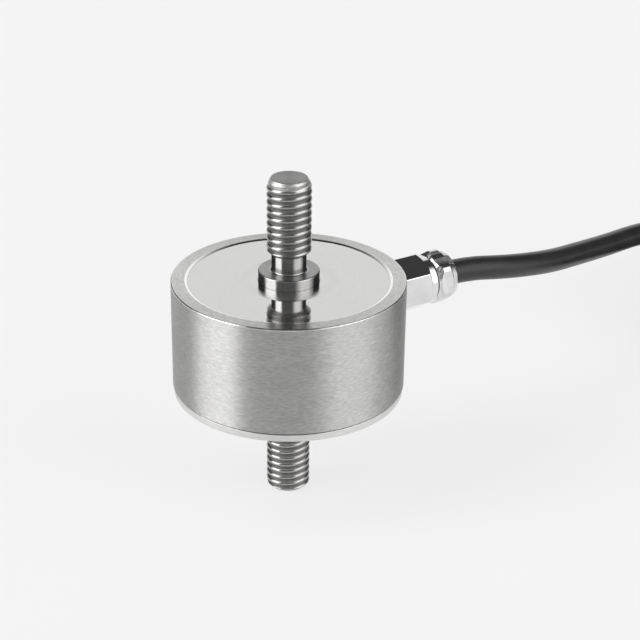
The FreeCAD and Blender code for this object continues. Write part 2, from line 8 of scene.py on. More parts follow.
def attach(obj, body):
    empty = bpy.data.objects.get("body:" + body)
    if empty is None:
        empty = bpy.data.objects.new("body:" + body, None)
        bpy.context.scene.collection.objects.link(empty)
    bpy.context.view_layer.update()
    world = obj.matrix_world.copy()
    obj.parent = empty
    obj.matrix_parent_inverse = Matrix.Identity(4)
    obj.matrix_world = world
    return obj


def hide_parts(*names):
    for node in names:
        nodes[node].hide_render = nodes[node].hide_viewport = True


# Looks of the miniature tension load cell: turned steel, M6 threads, cable gland and coiled cable.
# Lengths in the dictionaries are millimetres; meshes are written in metres.
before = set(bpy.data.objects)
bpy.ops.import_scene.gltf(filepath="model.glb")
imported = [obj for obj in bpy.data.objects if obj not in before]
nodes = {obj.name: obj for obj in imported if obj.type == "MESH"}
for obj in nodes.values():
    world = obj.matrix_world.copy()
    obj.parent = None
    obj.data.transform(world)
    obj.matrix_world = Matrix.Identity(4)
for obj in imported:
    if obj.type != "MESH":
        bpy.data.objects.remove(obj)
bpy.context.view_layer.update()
mm = 0.001
tau = 2 * math.pi
print("frame loaded,", len(nodes), "nodes")

# the photograph's view: where the camera stands and what it looks at
view = {
    "place": (-114.05, -182.52, 128.74),
    "target": (3.530, -2.303, 25.375),
    "lens": 99.70,
    "roll": 0.741,  # degrees that the picture's content is turned clockwise
}


def makeCamera():
    camera = bpy.data.objects.new("camera", bpy.data.cameras.new("camera"))
    bpy.context.scene.collection.objects.link(camera)
    place = Vector(view["place"]) * mm
    aim = Vector(view["target"]) * mm - place
    aimed = aim.to_track_quat("-Z", "Y").to_matrix().to_4x4()
    rolled = Matrix.Rotation(math.radians(view["roll"]), 4, "Z")
    camera.matrix_world = Matrix.Translation(place) @ aimed @ rolled
    camera.data.lens = view["lens"]
    camera.data.sensor_width = 36
    camera.data.clip_start = 0.01
    camera.data.clip_end = 20
    bpy.context.scene.camera = camera


makeCamera()
toCamera = (Vector(view["place"]) - Vector(view["target"])) * Vector((1, 1, 0))
toCamera.normalize()
toRight = Vector((-toCamera.y, toCamera.x, 0))  # the picture's right, level


class Value:
    # a socket of a material; arithmetic on it adds Math nodes
    def __init__(self, paint, socket):
        self.paint = paint
        self.socket = socket

    def math(self, operation, *parts):
        return self.paint.make("ShaderNodeMath", {"operation": operation}, dict(enumerate(parts)), 0)

    def __add__(self, other):
        return self.math("ADD", self, other)

    def __sub__(self, other):
        return self.math("SUBTRACT", self, other)

    def __rsub__(self, other):
        return self.math("SUBTRACT", other, self)

    def __mul__(self, other):
        return self.math("MULTIPLY", self, other)

    def __truediv__(self, other):
        return self.math("DIVIDE", self, other)

    def __pow__(self, other):
        return self.math("POWER", self, other)

    def clipped(self):
        return self.math("MINIMUM", self.math("MAXIMUM", self, 0.0), 1.0)

    __radd__ = __add__


class Paint:
    # a node tree with one maker for every kind of node
    def __init__(self, tree):
        self.tree = tree
        tree.nodes.clear()

    def make(self, kind, settings, sockets, out=None):
        node = self.tree.nodes.new(kind)
        for name, setting in settings.items():
            setattr(node, name, setting)
        for name, given in sockets.items():
            if isinstance(given, Value):
                self.tree.links.new(given.socket, node.inputs[name])
            elif isinstance(given, bpy.types.NodeSocket):
                self.tree.links.new(given, node.inputs[name])
            else:
                node.inputs[name].default_value = given
        return node if out is None else Value(self, node.outputs[out])

    def noise(self, vector, scale, detail=2.0, roughness=0.5):
        sockets = {"Vector": vector, "Scale": scale, "Detail": detail, "Roughness": roughness}
        return self.make("ShaderNodeTexNoise", {"noise_dimensions": "3D"}, sockets, "Fac")

    def spread(self, value, low, high, toLow=0.0, toHigh=1.0):
        # value between low and high stretched to toLow..toHigh and held there
        sockets = {"Value": value, "From Min": low, "From Max": high, "To Min": toLow, "To Max": toHigh}
        return self.make("ShaderNodeMapRange", {"clamp": True}, sockets, "Result")

    def within(self, value, low, high, soft):
        # 1 between low and high, falling to 0 across the soft edge at both ends
        return self.spread(value, low - soft, low + soft) * self.spread(value, high + soft, high - soft)

    def tint(self, factor, first, second):
        sockets = {0: factor, 6: (*first, 1), 7: (*second, 1)}
        return self.make("ShaderNodeMix", {"data_type": "RGBA"}, sockets, 2)

    def objectPlace(self):
        return self.make("ShaderNodeTexCoord", {}, {}, "Object")

    def parts(self, vector):
        split = self.make("ShaderNodeSeparateXYZ", {}, {"Vector": vector})
        return [Value(self, split.outputs[axis]) for axis in range(3)]

    def joined(self, x, y, z):
        return self.make("ShaderNodeCombineXYZ", {}, {"X": x, "Y": y, "Z": z}, "Vector")

    def turnedPlace(self, around, across, axis="z", level=0.0):
        # equal along every turned circle: direction about the axis times around,
        # radius plus length along the axis times across
        x, y, z = self.parts(self.objectPlace())
        if axis == "x":
            x, y, z = y, z - level, x
        radius = (x * x + y * y + 1e-12) ** 0.5
        return self.joined(x / radius * around, y / radius * around, (radius + z) * across)


def newMaterial(name, look):
    # look holds what is the same all over the surface, by the shader's socket
    material = bpy.data.materials.new(name)
    material.use_nodes = True
    paint = Paint(material.node_tree)
    shader = paint.make("ShaderNodeBsdfPrincipled", {}, look)
    paint.make("ShaderNodeOutputMaterial", {}, {"Surface": shader.outputs[0]})
    return material, paint, shader


def varies(paint, shader, socket, value):
    paint.tree.links.new(value.socket, shader.inputs[socket])


def bumped(paint, shader, height, distance):
    bump = paint.make("ShaderNodeBump", {}, {"Height": height, "Distance": distance, "Strength": 1.0})
    paint.tree.links.new(bump.outputs["Normal"], shader.inputs["Normal"])


noiseRange = (0.35, 0.65)  # most of a noise lies between these
wideRange = (0.3, 0.7)  # and nearly all of it between these

# turned and brushed steel; streaks and mottle are cycles across each metre, dashes cycles across each
# radian, grooves metres deep; a zone is a part of the piece by height and radius, in millimetres, that was
# finished by another cut, with its own gloss and a factor on the depth of the lines; its factor on the shade
# lightens or darkens the colour, and on the chamfer, the rolled edge and the recess's bevel that is painted
# light
steelFinish = {
    "turnedSteel": {
        "dark": 0.46, "light": 0.64, "rough": 0.445, "smooth": 0.435, "along": 0.95,
        "streaks": 6300, "dashes": 19, "groove": 0.3e-6, "mottle": 1400,
        "zones": [
            {"heights": (31.36, 32), "radii": (0, 15.5), "rough": 0.24},  # the rim's flat top
            # painted highlight: the rolled edge's colour is lightened 1.15 times
            {"heights": (31.27, 32), "radii": (15.5, 16), "rough": 0.2, "shade": 1.15},  # its rolled edge
        ]},
    "studSteel": {
        "dark": 0.35, "light": 0.47, "rough": 0.22, "smooth": 0.12, "along": 0.4,
        "streaks": 7000, "dashes": 14, "groove": 1.4e-6, "mottle": 260,
        "zones": [
            {"heights": (45.80, 47), "radii": (0, 2.4), "rough": 0.42, "shade": 0.72},  # end face
            # painted light: the chamfer's colour is lightened 1.8 times where the dim room in front leaves it
            # dark
            {"heights": (44.75, 47), "radii": (2.42, 2.9), "rough": 0.5, "shade": 1.8, "lines": 2},  # chamfer
            {"heights": (35.3, 44.75), "radii": (0, 2.84), "rough": 0.4, "shade": 1.1, "lines": 3},  # flanks
            {"heights": (35.3, 44.9), "radii": (2.84, 3.1), "rough": 0.23, "lines": 2.5},  # crests
            {"heights": (-1, 10.4), "radii": (0, 2.84), "rough": 0.4, "lines": 3},  # the lower stud's flanks
            {"heights": (32.78, 33.2), "radii": (2.6, 4.05), "rough": 0.36, "shade": 0.84},  # collar's top
        ]},
    "baseSteel": {
        "dark": 0.66, "light": 0.78, "rough": 0.42, "smooth": 0.34, "along": 0.4,
        "streaks": 8000, "dashes": 12, "groove": 1.2e-6, "mottle": 60, "zones": []},
    "polishedSteel": {
        "dark": 0.62, "light": 0.66, "rough": 0.08, "smooth": 0.05, "along": 0.0,
        "streaks": 12000, "dashes": 9, "groove": 0.4e-7, "mottle": 200,
        "zones": [
            {"heights": (31, 32), "radii": (5.0, 6.6), "rough": 0.22, "soft": 0.3},  # round the collar
            # painted highlight: the recess's bevel is lightened 1.4 times to a bright line
            {"heights": (31.37, 31.6), "radii": (13.4, 14), "rough": 0.1, "shade": 1.4},  # recess's bevel
        ]},
}
steelHue = (1, 0.995, 0.985)
zoneEdge = 0.02  # how softly a zone fades at its limits, unless it says so itself
# the grain's shares of fine streaks, of wide bands and of mottle; bands are so many streaks wide
grainMix = {"fine": 0.8, "band": 0.13, "mottle": 0.07, "bandWidth": 9, "bandDashes": 3, "bandGroove": 0.4}


def steel(name):
    # grain that follows the turning, with a slow mottle under it; each zone mixes its own gloss in
    finish = steelFinish[name]
    look = {"Metallic": 1.0, "Anisotropic": finish["along"], "Anisotropic Rotation": 0.25}
    material, paint, shader = newMaterial(name, look)
    fine = paint.noise(paint.turnedPlace(finish["dashes"], finish["streaks"]), 1.0, 3.0, 0.6)
    bandPlace = paint.turnedPlace(grainMix["bandDashes"], finish["streaks"] / grainMix["bandWidth"])
    band = paint.noise(bandPlace, 1.0, 2.0)
    mottle = paint.noise(paint.objectPlace(), finish["mottle"], 3.0)
    grain = fine * grainMix["fine"] + band * grainMix["band"] + mottle * grainMix["mottle"]
    shade = paint.spread(grain, *noiseRange, finish["dark"], finish["light"])
    gloss = paint.spread(band + mottle, 0.75, 1.25, finish["rough"], finish["smooth"])
    lines = fine + band * grainMix["bandGroove"]
    x, y, z = paint.parts(paint.objectPlace())
    radius = (x * x + y * y) ** 0.5
    for zone in finish["zones"]:
        soft = zone.get("soft", zoneEdge) * mm
        (low, high), (inner, outer) = zone["heights"], zone["radii"]
        inZone = paint.within(z, low * mm, high * mm, soft)
        inZone = inZone * paint.within(radius, inner * mm, outer * mm, soft)
        gloss = gloss + (zone["rough"] - gloss) * inZone
        # a zone's shade factor lightens or darkens the colour; on the chamfer, the rolled edge and the
        # recess's bevel it is painted light
        if "shade" in zone:
            shade = shade * (1 + inZone * (zone["shade"] - 1))
        if "lines" in zone:
            lines = lines * (1 + inZone * (zone["lines"] - 1))
    varies(paint, shader, "Base Color", paint.tint(shade.clipped(), (0, 0, 0), steelHue))
    varies(paint, shader, "Roughness", gloss)
    bumped(paint, shader, lines, finish["groove"])
    return material


# turning, mottle and ribs are cycles across each metre, as is the ribs' change along their length; dashes
# are cycles across each radian
nickelFinish = {
    "dark": 0.72, "light": 0.82, "rough": 0.16, "smooth": 0.07, "turning": 3500, "dashes": 4,
    "mottle": 260, "cloudDepth": 2.4e-6, "ribs": 4200, "ribChange": 120,
}


def nickel(name, groove, ribs):
    # bright plating over a milled hexagon: turning rings, grooves metres deep, a slow cloud in the gloss and
    # duller ribs that the cutter left along the axis
    material, paint, shader = newMaterial(name, {"Metallic": 1.0})
    ringPlace = paint.turnedPlace(nickelFinish["dashes"], nickelFinish["turning"], "x", glandLevel * mm)
    rings = paint.noise(ringPlace, 1.0, 2.0)
    cloud = paint.noise(paint.objectPlace(), nickelFinish["mottle"], 3.0)
    dark, light = (nickelFinish["dark"],) * 3, (nickelFinish["light"],) * 3
    varies(paint, shader, "Base Color", paint.tint(paint.spread(cloud, *noiseRange), dark, light))
    gloss = paint.spread(cloud + rings, 0.7, 1.3, nickelFinish["smooth"], nickelFinish["rough"])
    x, y, z = paint.parts(paint.objectPlace())
    change = nickelFinish["ribChange"]
    wave = paint.noise(paint.joined(x * change, y * nickelFinish["ribs"], z * change), 1.0, 1.0)
    varies(paint, shader, "Roughness", gloss + paint.spread(wave, 0.42, 0.58) * ribs)
    bumped(paint, shader, rings * groove + cloud * nickelFinish["cloudDepth"], 1.0)
    return material


# cycles across each metre, and how many times finer the grit is than the cloud
plainFinish = {"gritPerCloud": 14, "plasticCloud": 700, "plasticSkin": 9000, "wireCloud": 1500}


def softBlack(name, dark, light, rough, smooth, cloudScale, grit):
    # black jacket, rubber or nylon: a slow cloud in colour and gloss and a fine grit in the surface
    material, paint, shader = newMaterial(name, {"Specular IOR Level": 0.45})
    place = paint.objectPlace()
    cloud = paint.noise(place, cloudScale, 4.0, 0.6)
    fine = paint.noise(place, cloudScale * plainFinish["gritPerCloud"], 3.0, 0.6)
    shade = paint.tint(paint.spread(cloud, *wideRange), (dark,) * 3, (light,) * 3)
    varies(paint, shader, "Base Color", shade)
    varies(paint, shader, "Roughness", paint.spread(cloud * 0.6 + fine * 0.4, *noiseRange, smooth, rough))
    bumped(paint, shader, cloud * 3.0 + fine, grit)
    return material


def plastic(name, colour, rough, grit=3e-6):
    # moulded or drawn plastic: colour a little uneven, a fine skin
    material, paint, shader = newMaterial(name, {"Specular IOR Level": 0.5})
    place = paint.objectPlace()
    cloud = paint.noise(place, plainFinish["plasticCloud"], 3.0)
    deeper = tuple(part * 0.8 for part in colour)
    varies(paint, shader, "Base Color", paint.tint(paint.spread(cloud, *wideRange), deeper, colour))
    varies(paint, shader, "Roughness", paint.spread(cloud, *wideRange, rough * 0.85, rough))
    bumped(paint, shader, paint.noise(place, plainFinish["plasticSkin"], 2.0), grit)
    return material


def copperLike(name, colour):
    # drawn or tinned wire: a soft cloud in colour and gloss
    material, paint, shader = newMaterial(name, {"Metallic": 1.0})
    cloud = paint.noise(paint.objectPlace(), plainFinish["wireCloud"], 3.0)
    deeper = tuple(part * 0.7 for part in colour)
    varies(paint, shader, "Base Color", paint.tint(paint.spread(cloud, *wideRange), deeper, colour))
    varies(paint, shader, "Roughness", paint.spread(cloud, *wideRange, 0.28, 0.4))
    return material


glandLevel = 26.1  # height of the gland's axis
paints = {
    "turnedSteel": steel("turnedSteel"),
    "studSteel": steel("studSteel"),
    "baseSteel": steel("baseSteel"),
    "polishedSteel": steel("polishedSteel"),
    "glandNickel": nickel("glandNickel", 0.7e-6, 0.0),
    "nutNickel": nickel("nutNickel", 2e-6, 0.34),
    "cableBlack": softBlack("cableBlack", 0.018, 0.03, 0.42, 0.3, 500, 6e-6),
    "tieNylon": softBlack("tieNylon", 0.02, 0.03, 0.5, 0.38, 900, 4e-6),
    "softSealAndShade": softBlack("softSealAndShade", 0.012, 0.022, 0.75, 0.6, 900, 6e-6),
    "gaugeFilm": plastic("gaugeFilm", (0.62, 0.32, 0.08), 0.35),
    "boardGreen": plastic("boardGreen", (0.03, 0.16, 0.06), 0.4),
    "chipBlack": plastic("chipBlack", (0.03, 0.03, 0.03), 0.55),
    "coreRed": plastic("coreRed", (0.5, 0.02, 0.015), 0.38),
    "coreWhite": plastic("coreWhite", (0.75, 0.74, 0.7), 0.38),
    "coreGreen": plastic("coreGreen", (0.015, 0.24, 0.06), 0.38),
    "coreBlack": plastic("coreBlack", (0.02, 0.02, 0.02), 0.38),
    "ribbonCopper": copperLike("ribbonCopper", (0.7, 0.33, 0.16)),
    "tinnedWire": copperLike("tinnedWire", (0.72, 0.71, 0.7)),
}
print("materials made")


crispAngle = math.radians(32)  # edges sharper than this stay crisp


def placed(name, mesh, paint):
    # the finished mesh as a piece of the object
    mesh.shade_smooth()
    mesh.set_sharp_from_angle(angle=crispAngle)
    mesh.materials.clear()
    mesh.materials.append(paints[paint])
    piece = bpy.data.objects.new(name, mesh)
    bpy.context.scene.collection.objects.link(piece)
    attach(piece, "root")
    return piece


def newPiece(name, points, faces, paint):
    # points in millimetres
    mesh = bpy.data.meshes.new(name)
    mesh.from_pydata((points * mm).tolist(), [], faces)
    return placed(name, mesh, paint)


def paintWhere(piece, paint, chosen):
    # a second finish on the faces whose middles, in millimetres, chosen(x, y, z) picks
    piece.data.materials.append(paints[paint])
    middles = np.zeros(len(piece.data.polygons) * 3)
    piece.data.polygons.foreach_get("center", middles)
    x, y, z = middles.reshape(-1, 3).T / mm
    piece.data.polygons.foreach_set("material_index", chosen(x, y, z).astype(np.int32))


def mergedCopy(node):
    # a CAD node's mesh with its loose corners joined, and its bmesh to change
    mesh = nodes[node].data.copy()
    shape = bmesh.new()
    shape.from_mesh(mesh)
    bmesh.ops.remove_doubles(shape, verts=shape.verts, dist=1e-7)
    return mesh, shape


def gridFaces(rows, columns, closed):
    # quads of a grid whose columns go round; the last row meets the first where closed is set
    row = np.arange(rows if closed else rows - 1)[:, None]
    column = np.arange(columns)[None, :]
    up = (row + 1) % rows
    right = (column + 1) % columns
    here, above = row * columns, up * columns
    quads = np.stack([here + column, here + right, above + right, above + column], -1)
    return quads.reshape(-1, 4).tolist()


def fan(pole, ringStart, columns, forward):
    # triangles from a pole to a ring of points, which they go round forward or backward
    ring = np.arange(columns)
    here, there = ringStart + ring, ringStart + (ring + 1) % columns
    order = [0 * ring + pole, here, there] if forward else [0 * ring + pole, there, here]
    return np.stack(order, -1).tolist()


def softCorners(corners, steps=5, hold=0.04):
    # each corner (across, up, round) is cut back by its round and bridged by a quadratic curve with the
    # corner as its control point; a row just outside each bridge keeps the straight runs straight
    corners = [(*corner, 0)[:3] for corner in corners]
    line = []
    for number, (across, up, reach) in enumerate(corners):
        here = np.array([across, up], float)
        if not reach:
            line.append(here)
            continue
        before = np.array(corners[number - 1][:2]) - here
        after = np.array(corners[(number + 1) % len(corners)][:2]) - here
        before /= np.linalg.norm(before)
        after /= np.linalg.norm(after)
        line.append(here + before * (reach + hold))
        for part in np.linspace(0, 1, steps):
            line.append(here + before * reach * (1 - part) ** 2 + after * reach * part ** 2)
        line.append(here + after * (reach + hold))
    return np.array(line)


def finely(line, start, end, step):
    # extra rows by straight interpolation between two places of the profile's second coordinate
    out = []
    margin = 1e-6
    for here, there in zip(line, np.roll(line, -1, 0)):
        out.append(here)
        low, high = sorted((here[1], there[1]))
        if high - low > step and low >= start - margin and high <= end + margin:
            count = int((high - low) / step)
            for part in np.arange(1, count + 1) / (count + 1):
                out.append(here + (there - here) * part)
    return np.array(out)


def evenly(columns):
    # angles of so many columns, equally far apart
    return np.arange(columns) / columns * tau


def lathe(name, line, paint, angle, shape=None, closed=False):
    # a profile (radius, height) turned about Z, with a column at each angle; shape may change the radius
    # by angle and height; a profile that isn't closed starts and ends on the axis, where it gets a pole
    columns = len(angle)
    rows = line if closed else line[1:-1]
    radius = rows[:, :1] + 0 * angle[None, :]
    height = rows[:, 1:] + 0 * angle[None, :]
    if shape is not None:
        radius = shape(angle[None, :], height, radius)
    points = np.stack([radius * np.cos(angle), radius * np.sin(angle), height], -1).reshape(-1, 3)
    faces = gridFaces(len(rows), columns, closed)
    if not closed:
        poles = np.array([[0, 0, line[0, 1]], [0, 0, line[-1, 1]]])
        faces += fan(len(points), 0, columns, False)
        faces += fan(len(points) + 1, (len(rows) - 1) * columns, columns, True)
        points = np.concatenate([points, poles])
    return newPiece(name, points, faces, paint)


# the M6 thread of both studs
thread = {
    "pitch": 1.0, "outside": 3.0, "depth": 0.66, "crest": 0.4, "lean": 0.3, "dome": 1.25, "flank": 1.73,
    "rowHeight": 1 / 24,
}


def threadRadius(angle, height, start):
    # the crest climbs one pitch a turn and is worn to a low parabola that leans upward; straight flanks
    # fall from both its edges to the root; start is the height that the crest is lowered by
    above = (((height + start) / thread["pitch"] - angle / tau) % 1 - 0.5) * thread["pitch"]
    half, lean, dome = thread["crest"] / 2, thread["lean"], thread["dome"]
    least = -lean * lean / dome / 4
    crown = lean * above + dome * above * above
    upperFlank = lean * half + dome * half * half + (above - half) * thread["flank"]
    lowerFlank = dome * half * half - lean * half - (above + half) * thread["flank"]
    fall = np.where(np.abs(above) < half, crown, np.maximum(upperFlank, lowerFlank)) - least
    return thread["outside"] - np.minimum(fall, thread["depth"])


upper = {
    "collar": 4.12, "collarTop": 32.85, "collarCut": 30.5, "collarRound": 0.2, "neck": 2.35, "neckTop": 35.25,
    "neckRound": 0.22, "runOut": 0.55, "end": 45.85, "endRadius": 2.45, "endChamfer": 1.1,
    "threadStart": 0.36,
}


def threadWhere(inside, angle, height, radius, start):
    # the turned radius, held down to the thread's where inside is true
    return np.where(inside, np.minimum(radius, threadRadius(angle, height, start)), radius)


def upperShape(angle, height, radius):
    return threadWhere(height > upper["neckTop"], angle, height, radius, upper["threadStart"])


def keptBelow(node, height, name, paint):
    # a CAD node cut at a level and closed there; what lies above is left out
    mesh, shape = mergedCopy(node)
    cut = bmesh.ops.bisect_plane(shape, geom=shape.verts[:] + shape.edges[:] + shape.faces[:], dist=1e-8,
                                 plane_co=(0, 0, height * mm), plane_no=(0, 0, 1), clear_outer=True)
    edges = [item for item in cut["geom_cut"] if isinstance(item, bmesh.types.BMEdge)]
    bmesh.ops.holes_fill(shape, edges=edges, sides=0)
    shape.to_mesh(mesh)
    shape.free()
    return placed(name, mesh, paint)


def makeUpperStud():
    # the profile from the cut under the collar to the stud's end; the rest of the element keeps its CAD form
    line = softCorners([
        (0, upper["collarCut"]),
        (upper["collar"], upper["collarCut"], 0.05),
        (upper["collar"], upper["collarTop"], upper["collarRound"]),
        (upper["neck"], upper["collarTop"], upper["neckRound"]),
        (upper["neck"], upper["neckTop"], 0.08),
        (thread["outside"], upper["neckTop"] + upper["runOut"], 0.1),
        (thread["outside"], upper["end"] - upper["endChamfer"], 0.1),
        (upper["endRadius"], upper["end"], 0.12),
        (0, upper["end"]),
    ])
    line = finely(line, upper["neckTop"], upper["end"], thread["rowHeight"])
    stud = lathe("loadElement", line, "studSteel", evenly(192), upperShape)
    below = keptBelow("load_element", upper["collarCut"], "elementBelow", "studSteel")
    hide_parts("load_element")
    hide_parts("load_element")


makeUpperStud()

base = {
    "endRadius": 2.45, "endChamfer": 0.6, "neck": 2.35, "neckLow": 10.6, "neckRound": 0.22, "runOut": 0.55,
    "boss": 4.12, "bossFoot": 13.0, "bossRound": 0.14, "under": 15.3, "flange": 15.6, "flangeRound": 0.16,
    "seam": 16.5, "spigot": 13.38, "spigotTop": 19.3, "pocket": 9.8, "pocketFloor": 17.9, "threadStart": -0.3,
    "seamGap": 0.2, "seamDepth": 15.0,
}


def lowerShape(angle, height, radius):
    return threadWhere(height < base["neckLow"], angle, height, radius, base["threadStart"])


def makeBase():
    # the profile from the stud's end up to the flange, then in over the spigot and its pocket
    line = softCorners([
        (0, 0),
        (base["endRadius"], 0, 0.12),
        (thread["outside"], base["endChamfer"], 0.1),
        (thread["outside"], base["neckLow"] - base["runOut"], 0.1),
        (base["neck"], base["neckLow"], 0.08),
        (base["neck"], base["bossFoot"], base["neckRound"]),
        (base["boss"], base["bossFoot"], base["bossRound"]),
        (base["boss"], base["under"], 0.12),
        (base["flange"], base["under"], base["flangeRound"]),
        (base["flange"], base["seam"] - base["seamGap"], 0.08),
        (base["seamDepth"], base["seam"] - base["seamGap"]),
        (base["seamDepth"], base["seam"]),
        (base["spigot"], base["seam"], 0.05),
        (base["spigot"], base["spigotTop"], 0.1),
        (base["pocket"], base["spigotTop"], 0.1),
        (base["pocket"], base["pocketFloor"], 0.1),
        (0, base["pocketFloor"]),
    ])
    line = finely(line, 0, base["neckLow"], thread["rowHeight"])
    piece = lathe("basePlate", line, "baseSteel", evenly(192), lowerShape)
    paintWhere(piece, "studSteel", lambda x, y, z: z < base["bossFoot"] + 0.01)
    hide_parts("base_plate")


makeBase()
print("studs and base made")

housing = {
    "outside": 15.75, "seam": 16.5, "rim": 31.5, "rimRound": 0.2, "footRound": 0.03, "bevelTop": 13.9,
    "seat": 13.49, "seatTop": 31.35, "seatFloor": 30.85, "ledge": 11.8, "ledgeFoot": 29.35, "wiring": 12.6,
    "step": 22.8, "lower": 13.4, "fineAngle": 17.5, "fineColumns": 150, "otherColumns": 258,
}


def onBevel(x, y, z):
    # the slope from the rim's flat top down to the cover
    return (np.hypot(x, y) < housing["bevelTop"]) & (z > housing["seatTop"] - 0.01)


def makeHousing():
    # the wall's profile from its foot over the rim and back down inside; the bevel down to the cover gets the
    # polished finish with a painted highlight in its colour, and the columns stand closer together on the
    # gland's side
    line = softCorners([
        (housing["lower"], housing["seam"], 0.05),
        (housing["outside"], housing["seam"], housing["footRound"]),
        (housing["outside"], housing["rim"], housing["rimRound"]),
        (housing["bevelTop"], housing["rim"], 0.06),
        (housing["seat"], housing["seatTop"], 0.01),
        (housing["seat"], housing["seatFloor"]),
        (housing["ledge"], housing["seatFloor"], 0.05),
        (housing["ledge"], housing["ledgeFoot"]),
        (housing["wiring"], housing["ledgeFoot"]),
        (housing["wiring"], housing["step"]),
        (housing["lower"], housing["step"]),
    ])
    half = math.radians(housing["fineAngle"])
    nearGland = np.linspace(-half, half, housing["fineColumns"])
    elsewhere = np.linspace(half, tau - half, housing["otherColumns"] + 2)[1:-1]
    angle = np.concatenate([nearGland, elsewhere])
    piece = lathe("housingShell", line, "turnedSteel", angle, None, True)
    paintWhere(piece, "polishedSteel", onBevel)
    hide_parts("housing")


makeHousing()

cover = {
    "hole": 4.165, "lip": 4.44, "lipUnder": 31.22, "outside": 13.485, "top": 31.35, "under": 30.85,
    "edge": 0.01,
}


def makeCover():
    # a thin lip reaches over the seal to the collar
    line = softCorners([
        (cover["lip"], cover["under"]),
        (cover["outside"], cover["under"]),
        (cover["outside"], cover["top"], cover["edge"]),
        (cover["hole"], cover["top"], cover["edge"]),
        (cover["hole"], cover["lipUnder"]),
        (cover["lip"], cover["lipUnder"]),
    ])
    piece = lathe("coverDisc", line, "polishedSteel", evenly(256), None, True)
    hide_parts("cover_plate")


makeCover()
print("housing and cover made")

gland = {
    "flats": 7.0, "bodyCorner": 55.0, "nutCorner": 52.6, "edge": 80, "sideColumns": 56,
    "step": 0.08, "fineFrom": 20.5, "fineTo": 27, "neckFrom": 22.49, "neckTo": 24.0, "neckRadius": 3.1,
    "body": [
        (12.6, 2.5), (15.15, 2.5), (15.15, 4.1), (21.0, 4.04), (21.5, 3.45, 0.06), (22.48, 3.45, 0.12),
        (22.48, 2.95), (24.6, 2.95), (24.6, 2.4), (21.6, 2.4), (21.6, 1.8), (12.6, 1.8),
    ],
    "nut": [
        (22.78, 3.2, 0.04), (23.45, 3.88, 0.04), (24.68, 3.88, 0.04), (25.1, 3.47, 0.04),
        (26.0, 3.24, 0.2), (26.0, 1.8, 0.1), (25.15, 1.8), (25.15, 2.97), (22.78, 2.97),
    ],
}


def hexagonRadius(angle, cornerAt):
    # distance to the nearest of six flats, joined by a high power so that the corners are a little round
    reach = 0
    for number in range(6):
        facing = np.cos(angle - math.radians(cornerAt + 30 + 60 * number))
        reach = reach + np.maximum(facing, 0) ** gland["edge"]
    return gland["flats"] / 2 * reach ** (-1 / gland["edge"])


def makeHexagonal(name, corners, cornerAt, node, paint):
    # a turned profile (length, radius) along X, held inside a hexagon; the angle goes from up to the
    # front, and the columns stand closest together at the corners
    line = softCorners(corners)
    swapped = line[:, ::-1]
    line = finely(swapped, gland["fineFrom"], gland["fineTo"], gland["step"])[:, ::-1]
    share = np.linspace(-0.5, 0.5, gland["sideColumns"] + 1)[:-1]
    sector = np.sin(share * math.pi) * 30
    angle = np.radians((cornerAt + 30 + 60 * np.arange(6)[:, None] + sector[None, :]).ravel())
    turnedRadius = line[:, 1:] + 0 * angle[None, :]
    power = 2 * gland["edge"]
    radius = (turnedRadius ** -power + hexagonRadius(angle, cornerAt)[None, :] ** -power) ** (-1 / power)
    length = line[:, :1] + 0 * angle[None, :]
    points = np.stack([length, -radius * np.sin(angle), glandLevel + radius * np.cos(angle)], -1)
    faces = gridFaces(len(line), len(angle), True)
    piece = newPiece(name, points.reshape(-1, 3), faces, paint)
    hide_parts(node)
    return piece


def onNeck(x, y, z):
    # the neck between body and nut, whose faces get the black seal finish as painted shade in the gap
    alongNeck = (x > gland["neckFrom"]) & (x < gland["neckTo"])
    return alongNeck & (np.hypot(y, z - glandLevel) < gland["neckRadius"])


glandBody = makeHexagonal("glandBody", gland["body"], gland["bodyCorner"], "gland_body", "glandNickel")
# painted shade: the black seal finish darkens the gap between body and nut
paintWhere(glandBody, "softSealAndShade", onNeck)
glandNut = makeHexagonal("glandNut", gland["nut"], gland["nutCorner"], "gland_nut", "nutNickel")
print("gland made")

# the cable: along listed points from the gland to the coil, then by a loop round the coil
cable = {
    "diameter": 3.5,
    "route": [
        (26.0, 0.0, 26.1), (30.0, 0.0, 26.0), (35.5, -0.25, 25.0), (41.0, 0.4, 23.85), (47.5, 2.0, 22.4),
        (55.0, 4.9, 20.8), (64.0, 8.1, 19.1), (73.5, 11.0, 17.9), (80.0, 13.0, 16.2), (86.2, 15.9, 13.7),
    ],
    "coilMiddle": (105.0, -1.0), "outerTurn": 24.825, "pitch": 3.55, "lowTurn": 2.275,
    "startAngle": 125.0, "pointsPerTurn": 16, "layers": 4, "shelfLayers": 2, "columns": 4,
    "swing": 45.0,  # degrees that a change of layer or column takes
    "wound": 4800.0,  # degrees of the whole winding
    "tailSwing": 50.0, "tailRadius": 13.85, "tailHeight": 9.65, "tailAngle": 2.0,
}


def eased(travel, start):
    # 0 up to the start, 1 a swing later, a smooth step between
    part = min(max((travel - start) / cable["swing"], 0), 1)
    return part * part * (3 - 2 * part)


def coilPoint(travel):
    # radius and height of the winding after so many degrees: layer by layer, then a column inward
    swing = cable["swing"]
    lap = 360 * cable["layers"] - 2 * swing  # from one column's first change to the next one's
    firstChange = 360 - swing
    column, layer = 0.0, cable["layers"] - 1.0
    for place in range(cable["columns"]):
        changes = cable["layers"] - 1 if place < cable["columns"] - 1 else cable["shelfLayers"]
        for step in range(changes):
            way = -1 if place % 2 == 0 else 1
            if place == cable["columns"] - 1:
                way = 1
            layer += way * eased(travel, firstChange + lap * place + 360 * step)
        if place < cable["columns"] - 1:
            column += eased(travel, lap * (place + 1))
    return cable["outerTurn"] - cable["pitch"] * column, cable["lowTurn"] + cable["pitch"] * layer


